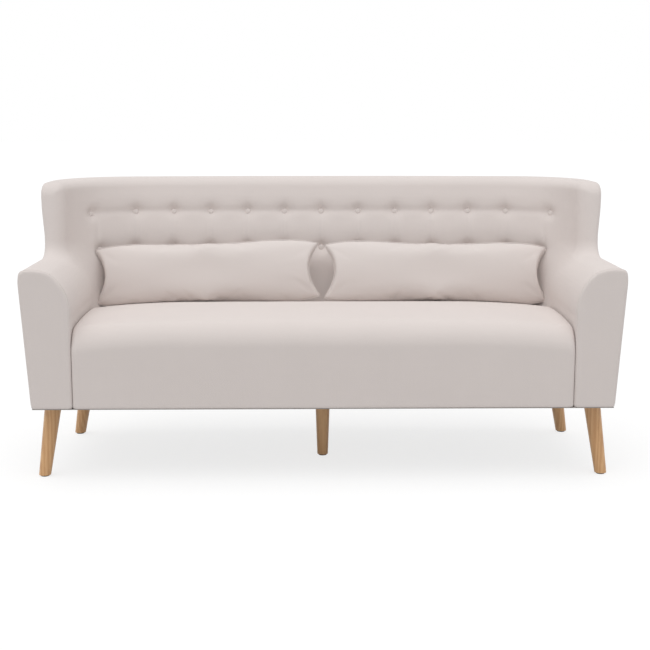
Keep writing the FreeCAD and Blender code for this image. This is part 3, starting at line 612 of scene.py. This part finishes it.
# %% Stand the cushions on the seat
LEAN = math.atan((INSIDE_HIGH[1] - INSIDE_LOW[1]) / (INSIDE_HIGH[0] - INSIDE_LOW[0]))
ALONG = np.array([1.0, 0.0, 0.0])
REARWARD = np.array([0.0, math.cos(LEAN), -math.sin(LEAN)])
UPWARD = np.array([0.0, math.sin(LEAN), math.cos(LEAN)])
CUSHION_SIZE = (0.748, 0.110, 0.212)
CUSHION_OUT = 0.003                 # further out than the CAD cushion
CUSHION_SAG = 0.007                 # and further down, flattened on the seat
CUSHION_TILT = {"left": math.radians(1.8), "right": math.radians(-0.8)}
CONTACT_GAP = 0.0012
ZIP_GROOVE = (0.0075, 0.015)        # half width of its floor, and of its mouth
ZIP_UNDER = 0.0004


def node_points(node):
    return np.array([v.co for v in frame["nodes"][node].data.vertices])


def pressed_clear(points, field):
    """Points moved out of a neighbour, so that the cushion flattens against it."""
    for _ in range(4):
        value, slope = slope_of(field, points)
        push = np.clip(CONTACT_GAP - value, 0, 0.02)
        points = points + slope * (push / np.maximum((slope ** 2).sum(1), 0.05))[:, None]
    return points


def grooved(points, zip_node):
    """A flat-floored groove under the zip."""
    zip_points = node_points(zip_node)
    centre = zip_points.mean(0)
    spread = zip_points - centre
    _, _, axes = np.linalg.svd(spread, full_matrices=False)
    width_axis, depth_axis = axes[1], axes[2]
    if depth_axis @ REARWARD < 0:
        depth_axis = -depth_axis
    floor_depth = (spread @ depth_axis).min() - ZIP_UNDER
    half_length = np.abs(spread[:, 0]).max()
    offset = points - centre
    sideways = np.abs(offset @ width_axis)
    depth = offset @ depth_axis
    near = (1 - fade(sideways, *ZIP_GROOVE)) * (1 - fade(np.abs(offset[:, 0]), half_length + 0.002,
                                                         half_length + 0.010))
    near = np.where(np.abs(depth) < 0.03, near, 0)
    return points + depth_axis * ((floor_depth - depth) * near)[:, None]


def seam_tube(name, path, radius, sides=6, closed=True):
    """A thin round seam along a closed path of points."""
    count = len(path)
    ahead = np.roll(path, -1, 0) - np.roll(path, 1, 0)
    if not closed:
        ahead[0], ahead[-1] = path[1] - path[0], path[-1] - path[-2]
    ahead /= np.linalg.norm(ahead, axis=1)[:, None]
    side = np.cross(ahead, np.array([0.31, 0.52, 0.79]))
    side /= np.linalg.norm(side, axis=1)[:, None]
    other = np.cross(ahead, side)
    turns = [2 * math.pi * s / sides for s in range(sides)]
    points = np.concatenate([path + radius * (math.cos(t) * side + math.sin(t) * other) for t in turns])
    faces = []
    for s in range(sides):
        for i in range(count if closed else count - 1):
            j, t = (i + 1) % count, (s + 1) % sides
            faces.append((s * count + i, s * count + j, t * count + j, t * count + i))
    if not closed:
        faces.append([s * count for s in range(sides)][::-1])
        faces.append([s * count + count - 1 for s in range(sides)])
    return new_mesh(name, points, faces)


def subdivided(piece, levels=1):
    """One Catmull-Clark step, applied."""
    step = piece.modifiers.new("smooth", "SUBSURF")
    step.levels = step.render_levels = levels
    shaped = piece.evaluated_get(bpy.context.evaluated_depsgraph_get())
    mesh = bpy.data.meshes.new_from_object(shaped)
    piece.modifiers.clear()
    piece.data = mesh
    mesh.polygons.foreach_set("use_smooth", [True] * len(mesh.polygons))
    return piece


EDGE_CORD_R = 0.0016
for side, sign, pressure in (("left", -1, STUFFING_PRESSURE), ("right", 1, STUFFING_PRESSURE * 1.06)):
    points, faces, ring = stuffed(side + "_cushion_casing", *PANEL_SIZE, CUSHION_SIZE[1], pressure, sign)
    size = np.ptp(points, axis=0)
    points *= np.array(CUSHION_SIZE) / size
    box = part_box(side + "_cushion_cover")
    centre = np.array([(a + b) / 2 for a, b in zip(*box)])
    centre += ALONG * sign * CUSHION_OUT - UPWARD * CUSHION_SAG
    tilt = CUSHION_TILT[side]
    along = ALONG * math.cos(tilt) + UPWARD * math.sin(tilt)
    upward = UPWARD * math.cos(tilt) - ALONG * math.sin(tilt)
    placed = centre + points[:, :1] * along + points[:, 1:2] * REARWARD + points[:, 2:] * upward
    for _ in range(2):
        placed = pressed_clear(placed, seat_field)
        placed = pressed_clear(placed, body_field)
    placed = grooved(placed, side + "_cushion_zip")
    casing = subdivided(new_mesh(side + "_cushion_casing", placed, faces))
    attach(casing, side + "_cushion")
    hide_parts(side + "_cushion_cover", side + "_cushion_pad")
    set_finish(casing, "upholstery")
    edge = seam_tube(side + "_cushion_edge_seam", placed[ring], EDGE_CORD_R)
    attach(edge, side + "_cushion")
    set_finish(edge, "upholstery")
    print(side, "cushion", np.round(placed.min(0), 3), "to", np.round(placed.max(0), 3))

# %% [markdown]
# ## Covered buttons
# Each button is a small metal mould covered in the sofa's own cloth: a low dome with a tight round
# rim. The dome is turned, one ring of points above another, and set into the bottom of its tuft,
# facing along the slope of the cloth there.

# %% Buttons
BUTTON_PROFILE = ((0.0, 0.0072), (0.0048, 0.0067), (0.0086, 0.0050), (0.0108, 0.0026),
                  (0.0117, 0.0002), (0.0112, -0.0020), (0.0092, -0.0034))
BUTTON_SIDES = 20
BUTTON_SINK = 0.0004


def button_on(x, z):
    """Point on the cloth at the bottom of a tuft and the direction that it faces."""
    flat_end, rear = INSIDE_HALF - INSIDE_CORNER, inside_rear(z)
    past = max(abs(x) - flat_end, 0) / INSIDE_CORNER
    level = math.sqrt(1 - past ** 2)
    start = np.array([[x, rear - INSIDE_CORNER * (1 - level), z]])
    point = drawn_to(body_field, start, 0.01, 6)
    away = np.array([-math.copysign(past, x), -level, math.tan(LEAN) * level])
    return point[0], away / np.linalg.norm(away)


def buttons_mesh():
    points, faces = [], []
    for row_z, wing_x in zip(BUTTON_ROWS, WING_BUTTON_X):
        xs = [(i - (BUTTON_COLUMNS - 1) / 2) * BUTTON_PITCH for i in range(BUTTON_COLUMNS)]
        for x in [-wing_x] + xs + [wing_x]:
            centre, away = button_on(x, row_z)
            side = np.cross(away, (0, 0, 1.0))
            side /= np.linalg.norm(side)
            up = np.cross(side, away)
            start = len(points)
            points.append(centre + away * (BUTTON_PROFILE[0][1] - BUTTON_SINK))
            for radius, height in BUTTON_PROFILE[1:]:
                for s in range(BUTTON_SIDES):
                    t = 2 * math.pi * s / BUTTON_SIDES
                    spoke = side * math.cos(t) + up * math.sin(t)
                    points.append(centre + spoke * radius + away * (height - BUTTON_SINK))
            for s in range(BUTTON_SIDES):
                n = (s + 1) % BUTTON_SIDES
                faces.append((start, start + 1 + s, start + 1 + n))
                for ring in range(len(BUTTON_PROFILE) - 2):
                    a = start + 1 + ring * BUTTON_SIDES
                    b = a + BUTTON_SIDES
                    faces.append((a + s, b + s, b + n, a + n))
            last = start + 1 + (len(BUTTON_PROFILE) - 2) * BUTTON_SIDES
            faces.append([last + s for s in range(BUTTON_SIDES)][::-1])
    return new_mesh("covered_buttons", points, faces)


buttons = buttons_mesh()
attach(buttons, "sofa")
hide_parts("back_buttons", "button_twines")
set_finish(buttons, "upholstery")
print("covered buttons", 2 * (BUTTON_COLUMNS + 2))

# %% [markdown]
# ## Seams
# The front of each arm is a flat panel sewn to the cloth that wraps the arm. The sewn edge shows as
# a fine raised line. Each seam is a thin tube along points that are drawn onto the surface first.

# %% Arm seams
ARM_SEAM_INSET = 0.0065
ARM_SEAM_R = 0.0013
ARM_SEAM_DEPTH = -0.0004


def arm_front_path(sign):
    """Closed path round the front of an arm, just behind its front edge."""
    y = FRONT_Y + ARM_SEAM_INSET
    outline = [p for p in ARM_OUTLINE if p[0] < SEAT_HALF + 0.2 and p[1] > 0.1]
    outline = [(SEAT_HALF, COVER_LOW_Z + 0.006)] + outline
    outline += [(ARM_HEAD_HALF - 0.003, 0.639), (ARM_HEAD_HALF, ARM_HEAD_Z - 0.008),
                (FOOT_HALF, COVER_LOW_Z + 0.006)]
    path = []
    for (ax, az), (bx, bz) in zip(outline, outline[1:]):
        steps = max(1, round(math.hypot(bx - ax, bz - az) / 0.006))
        path += [(sign * (ax + (bx - ax) * i / steps), y, az + (bz - az) * i / steps)
                 for i in range(steps)]
    path = drawn_to(body_field, np.array(path), 0.004, 4, ARM_SEAM_DEPTH)
    path[:, 1] = y
    return path


for side, sign in (("left", -1), ("right", 1)):
    seam = seam_tube(side + "_arm_front_seam", arm_front_path(sign), ARM_SEAM_R, closed=False)
    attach(seam, "sofa")
    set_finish(seam, "upholstery")
print("arm seams drawn")

# %% [markdown]
# ## Shared effects
# Cloth and wood each need a pattern that more than one finish uses, so each pattern is a node group
# with its own inputs and outputs. A group only gives colours and heights; the shader stays in the
# material.

# %% Node helpers
def group_of(name, inputs, outputs):
    """A new shader node group with named sockets, and its input and output nodes."""
    group = bpy.data.node_groups.new(name, "ShaderNodeTree")
    for label, kind, value in inputs:
        socket = group.interface.new_socket(name=label, in_out="INPUT", socket_type="NodeSocket" + kind)
        socket.default_value = value
    for label, kind in outputs:
        group.interface.new_socket(name=label, in_out="OUTPUT", socket_type="NodeSocket" + kind)
    return group, group.nodes.new("NodeGroupInput"), group.nodes.new("NodeGroupOutput")


class Nodes:
    """Short calls for adding nodes to a tree; an input is a socket or a plain value."""

    def __init__(self, tree):
        self.tree = tree

    def add(self, kind, inputs=None, **settings):
        node = self.tree.nodes.new("ShaderNode" + kind)
        for key, value in settings.items():
            setattr(node, key, value)
        for key, value in (inputs or {}).items():
            if isinstance(value, bpy.types.NodeSocket):
                self.tree.links.new(value, node.inputs[key])
            else:
                node.inputs[key].default_value = value
        return node

    def math(self, operation, a, b=0.0, c=0.0):
        return self.add("Math", {0: a, 1: b, 2: c}, operation=operation).outputs[0]

    def mix(self, share, a, b, blend="MIX"):
        node = self.add("Mix", {0: share, 6: a, 7: b}, data_type="RGBA", blend_type=blend)
        return node.outputs[2]

    def noise(self, vector, scale, detail=3.0, roughness=0.55):
        inputs = {"Vector": vector, "Scale": scale, "Detail": detail, "Roughness": roughness}
        return self.add("TexNoise", inputs).outputs[0]

    def stretched(self, vector, factors):
        return self.add("Mapping", {"Vector": vector, "Scale": factors}).outputs[0]


# %% [markdown]
# The cloth is a plain weave of slightly uneven yarn. Seen close, threads pass over and under each
# other, and the colour has painted shade: a little lighter on the raised threads, a little darker
# between them. Further off, thicker yarns show as faint streaks along both directions of the cloth.
# The weave is laid on from three sides and picked by the direction that the cloth faces, so it
# needs no unwrapping.

# %% Weave group
def weave_group():
    group, given, result = group_of(
        "woven_cloth",
        [("Color", "Color", (0.7, 0.65, 0.6, 1)), ("Thread", "Float", 0.0016),
         ("Streaks", "Float", 0.05), ("Mottle", "Float", 0.04)],
        [("Color", "Color"), ("Height", "Float")])
    n = Nodes(group)
    place = n.add("TexCoord")
    at = place.outputs["Object"]
    axes = n.add("SeparateXYZ", {0: at})
    facing = n.add("SeparateXYZ", {0: n.add("VectorMath", {0: place.outputs["Normal"]},
                                            operation="ABSOLUTE").outputs[0]})
    rate = n.math("DIVIDE", math.pi, given.outputs["Thread"])
    waves = [n.math("SINE", n.math("MULTIPLY", axes.outputs[i], rate)) for i in range(3)]
    weights = [n.math("POWER", facing.outputs[i], 3.0) for i in range(3)]
    total = n.math("ADD", n.math("ADD", weights[0], weights[1]), weights[2])
    height = 0.0
    for i in range(3):
        cross = n.math("MULTIPLY", waves[(i + 1) % 3], waves[(i + 2) % 3])
        height = n.math("MULTIPLY_ADD", cross, weights[i], height)
    height = n.math("DIVIDE", height, total)
    level = n.noise(n.stretched(at, (1, 1, 60)), 5.0)
    upright = n.noise(n.stretched(at, (60, 60, 1)), 5.0)
    streak = n.math("SUBTRACT", n.math("MULTIPLY", n.math("ADD", level, upright), 0.5), 0.5)
    mottle = n.math("SUBTRACT", n.noise(at, 7.0, 4.0), 0.5)
    shade = n.math("MULTIPLY_ADD", streak, given.outputs["Streaks"],
                   n.math("MULTIPLY_ADD", mottle, given.outputs["Mottle"], 1.0))
    # painted shade: the colour is made a little lighter on the raised threads and a little darker in the
    # hollows between them
    shade = n.math("MULTIPLY_ADD", height, 0.035, shade)
    colour = n.add("VectorMath", {0: given.outputs["Color"], "Scale": shade}, operation="SCALE")
    group.links.new(colour.outputs[0], result.inputs["Color"])
    thick = n.math("MULTIPLY_ADD", streak, 1.2, n.math("MULTIPLY", height, 0.6))
    group.links.new(n.math("ADD", thick, 1.0), result.inputs["Height"])
    return group


WEAVE = weave_group()

# %% [markdown]
# Wood grain runs along a leg. Noise that is stretched along the grain gives the fine lines, a
# wandering wave gives the darker growth bands, and a few short flecks lie between them.

# %% Grain group
def grain_group():
    group, given, result = group_of(
        "wood_grain",
        [("Light", "Color", (0.6, 0.4, 0.2, 1)), ("Dark", "Color", (0.4, 0.25, 0.1, 1)),
         ("Stretch", "Vector", (1.0, 1.0, 0.06)), ("Bands", "Float", 26.0)],
        [("Color", "Color"), ("Height", "Float"), ("Roughness", "Float")])
    n = Nodes(group)
    at = n.add("TexCoord").outputs["Object"]
    along = n.add("VectorMath", {0: at, 1: given.outputs["Stretch"]}, operation="MULTIPLY").outputs[0]
    wander = n.noise(along, 9.0, 2.0)
    bands = n.add("TexWave", {"Vector": along, "Scale": given.outputs["Bands"], "Distortion": 7.0,
                              "Detail": 2.0, "Detail Scale": 1.4}, wave_type="RINGS",
                  rings_direction="Z").outputs[1]
    lines = n.noise(along, 240.0, 3.0)
    fleck = n.math("GREATER_THAN", n.noise(along, 520.0, 1.0), 0.66)
    share = n.math("MULTIPLY_ADD", bands, 0.42, n.math("MULTIPLY", lines, 0.38))
    share = n.math("MULTIPLY_ADD", wander, 0.30, share)
    share = n.math("MULTIPLY_ADD", fleck, 0.14, n.math("SUBTRACT", share, 0.18))
    colour = n.mix(share, given.outputs["Light"], given.outputs["Dark"])
    group.links.new(colour, result.inputs["Color"])
    group.links.new(n.math("SUBTRACT", lines, fleck), result.inputs["Height"])
    group.links.new(n.math("MULTIPLY_ADD", lines, 0.16, 0.34), result.inputs["Roughness"])
    return group


GRAIN = grain_group()

# %% [markdown]
# ## Finishes
# Each material keeps its own Principled shader. Values that are the same all over are set on its
# sockets, and only what changes over the surface comes from a group or a texture.

# %% Material builders
def linear(r, g, b):
    """A colour given as screen values from 0 to 255, in the shader's linear scale."""
    def one(c):
        c /= 255
        return c / 12.92 if c <= 0.04045 else ((c + 0.055) / 1.055) ** 2.4
    return one(r), one(g), one(b), 1.0


def new_material(name):
    material = bpy.data.materials.new(name)
    material.use_nodes = True
    return material, Nodes(material.node_tree), material.node_tree.nodes["Principled BSDF"]


def use_group(nodes, group, inputs):
    node = nodes.add("Group", node_tree=group)
    for key, value in inputs.items():
        node.inputs[key].default_value = value
    return node


def bump(nodes, shader, height, strength, distance):
    node = nodes.add("Bump", {"Height": height, "Strength": strength, "Distance": distance})
    nodes.tree.links.new(node.outputs[0], shader.inputs["Normal"])


def cloth_material(name, colour, thread, streaks=0.05, mottle=0.04, relief=0.0004):
    material, nodes, shader = new_material(name)
    weave = use_group(nodes, WEAVE, {"Color": colour, "Thread": thread, "Streaks": streaks,
                                     "Mottle": mottle})
    nodes.tree.links.new(weave.outputs["Color"], shader.inputs["Base Color"])
    shader.inputs["Roughness"].default_value = 0.92
    shader.inputs["Specular IOR Level"].default_value = 0.25
    shader.inputs["Sheen Weight"].default_value = 0.12
    shader.inputs["Sheen Roughness"].default_value = 0.45
    bump(nodes, shader, weave.outputs["Height"], 0.45, relief)
    return material


def wood_material(name, light, dark, stretch, bands, coat):
    material, nodes, shader = new_material(name)
    grain = use_group(nodes, GRAIN, {"Light": light, "Dark": dark, "Stretch": stretch, "Bands": bands})
    nodes.tree.links.new(grain.outputs["Color"], shader.inputs["Base Color"])
    nodes.tree.links.new(grain.outputs["Roughness"], shader.inputs["Roughness"])
    shader.inputs["Coat Weight"].default_value = coat
    shader.inputs["Coat Roughness"].default_value = 0.35
    bump(nodes, shader, grain.outputs["Height"], 0.25, 0.0003)
    return material


def metal_material(name, colour, rough, metallic=1.0):
    """Metal or moulded plastic with fine uneven polish."""
    material, nodes, shader = new_material(name)
    at = nodes.add("TexCoord").outputs["Object"]
    patches = nodes.noise(at, 60.0, 4.0)
    dull = tuple(c * 0.8 for c in colour[:3]) + (1.0,)
    nodes.tree.links.new(nodes.mix(patches, colour, dull), shader.inputs["Base Color"])
    nodes.tree.links.new(nodes.math("MULTIPLY_ADD", patches, 0.2, rough), shader.inputs["Roughness"])
    shader.inputs["Metallic"].default_value = metallic
    bump(nodes, shader, nodes.noise(at, 900.0, 2.0), 0.1, 0.0002)
    return material


def foam_material(name, colour):
    material, nodes, shader = new_material(name)
    at = nodes.add("TexCoord").outputs["Object"]
    cells = nodes.add("TexVoronoi", {"Vector": at, "Scale": 420.0}).outputs[0]
    dark = tuple(c * 0.75 for c in colour[:3]) + (1.0,)
    nodes.tree.links.new(nodes.mix(cells, colour, dark), shader.inputs["Base Color"])
    shader.inputs["Roughness"].default_value = 0.95
    bump(nodes, shader, cells, 0.4, 0.0006)
    return material


# %% Materials
upholstery = cloth_material("greige_cloth", linear(222, 213, 209), 0.0015)
finishes = {
    "upholstery": upholstery,
    "lining": cloth_material("grey_lining", linear(172, 166, 162), 0.0009, 0.10, 0.12, 0.0002),
    "webbing": cloth_material("jute_webbing", linear(176, 150, 112), 0.0026, 0.20, 0.10, 0.0008),
    "leg_wood": wood_material("oiled_oak", linear(226, 182, 132), linear(184, 130, 82),
                              (1.0, 1.0, 0.06), 26.0, 0.15),
    "frame_wood": wood_material("sawn_pine", linear(222, 192, 148), linear(180, 140, 92),
                                (0.06, 1.0, 1.0), 18.0, 0.0),
    "hardboard": wood_material("hardboard", linear(150, 112, 78), linear(124, 90, 60),
                               (1.0, 1.0, 1.0), 60.0, 0.0),
    "foam": foam_material("seat_foam", linear(232, 222, 190)),
    "filling": foam_material("cushion_filling", linear(236, 234, 230)),
    "spring_steel": metal_material("spring_steel", linear(120, 122, 126), 0.36),
    "zinc_steel": metal_material("zinc_steel", linear(176, 180, 186), 0.30),
    "nylon": metal_material("black_nylon", linear(40, 40, 42), 0.45, 0.0),
    "zip_metal": metal_material("zip_metal", linear(168, 160, 150), 0.32),
}

for piece in bpy.data.objects:
    if piece.type != "MESH":
        continue
    if "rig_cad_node" in piece:
        for place in piece.material_slots:
            place.material = finishes[place.material.name.split(".")[0]]
    else:
        piece.data.materials.clear()
        piece.data.materials.append(finishes[piece["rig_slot"]])
print("finishes:", ", ".join(sorted(finishes)))

# %% [markdown]
# ## Floor, light and camera
# A soft daylight studio: even light from all round, and a wide soft sun from above that makes the
# tops of the seat and arms a little lighter than their fronts. The floor and the background are
# white to the camera, and the floor keeps the soft shadow under the sofa.

# %% Floor
FLOOR_HALF = 30.0
FLOOR_LIFT = 0.75                   # white that only the camera sees
FLOOR_COLOUR, SEEN_FLOOR_COLOUR = (0.68, 0.68, 0.68, 1), (0.27, 0.27, 0.27, 1)

floor = new_mesh("studio_floor", [(-FLOOR_HALF, -FLOOR_HALF, 0), (FLOOR_HALF, -FLOOR_HALF, 0),
                                  (FLOOR_HALF, FLOOR_HALF, 0), (-FLOOR_HALF, FLOOR_HALF, 0)],
                 [(0, 1, 2, 3)], smooth=False)
floor_material, nodes, shader = new_material("white_floor")
nodes.tree.nodes.remove(shader)
to_eye = nodes.add("LightPath")
seen = nodes.math("MAXIMUM", to_eye.outputs["Is Camera Ray"],
                  nodes.math("MAXIMUM", to_eye.outputs["Is Glossy Ray"],
                             to_eye.outputs["Is Transmission Ray"]))
colour = nodes.mix(seen, FLOOR_COLOUR, SEEN_FLOOR_COLOUR)
matt = nodes.add("BsdfDiffuse", {"Color": colour})
lift = nodes.add("Emission", {"Color": (1, 1, 1, 1),
                              "Strength": nodes.math("MULTIPLY", seen, FLOOR_LIFT)})
both = nodes.add("AddShader", {0: matt.outputs[0], 1: lift.outputs[0]})
nodes.tree.links.new(both.outputs[0], nodes.tree.nodes["Material Output"].inputs["Surface"])
floor.data.materials.append(floor_material)

# %% Light
SKY_LEVEL = 0.62
SUN_LEVEL = 1.42
SUN_SPREAD = math.radians(70)
SUN_TILT = (math.radians(10), math.radians(-6))      # towards the front, and to one side

world = bpy.data.worlds.new("studio")
bpy.context.scene.world = world
world.use_nodes = True
sky = Nodes(world.node_tree)
eye = sky.add("LightPath")
shown = sky.math("MAXIMUM", eye.outputs["Is Camera Ray"],
                 sky.math("MAXIMUM", eye.outputs["Is Glossy Ray"], eye.outputs["Is Transmission Ray"]))
level = sky.math("MULTIPLY_ADD", shown, 1.0 - SKY_LEVEL, SKY_LEVEL)
background = world.node_tree.nodes["Background"]
background.inputs["Color"].default_value = (1, 1, 1, 1)
world.node_tree.links.new(level, background.inputs["Strength"])

sun = bpy.data.lights.new("soft_sun", "SUN")
sun.energy = SUN_LEVEL
sun.angle = SUN_SPREAD
sun_object = bpy.data.objects.new("soft_sun", sun)
sun_object.rotation_euler = (SUN_TILT[0], SUN_TILT[1], 0)
bpy.context.scene.collection.objects.link(sun_object)
print("sky", SKY_LEVEL, "sun", SUN_LEVEL)

# %% Camera
LENS = 71.82
CAMERA_PLACE = (-0.058, -4.2144, 1.1526)
CAMERA_DOWN, CAMERA_TURN = 0.1737, -0.016           # radians

camera_data = bpy.data.cameras.new("camera")
camera_data.lens = LENS
camera_data.sensor_width = 36.0
camera = bpy.data.objects.new("camera", camera_data)
camera.location = CAMERA_PLACE
camera.rotation_euler = (math.pi / 2 - CAMERA_DOWN, 0, CAMERA_TURN)
bpy.context.scene.collection.objects.link(camera)
bpy.context.scene.camera = camera
bpy.context.scene.view_settings.view_transform = "Standard"
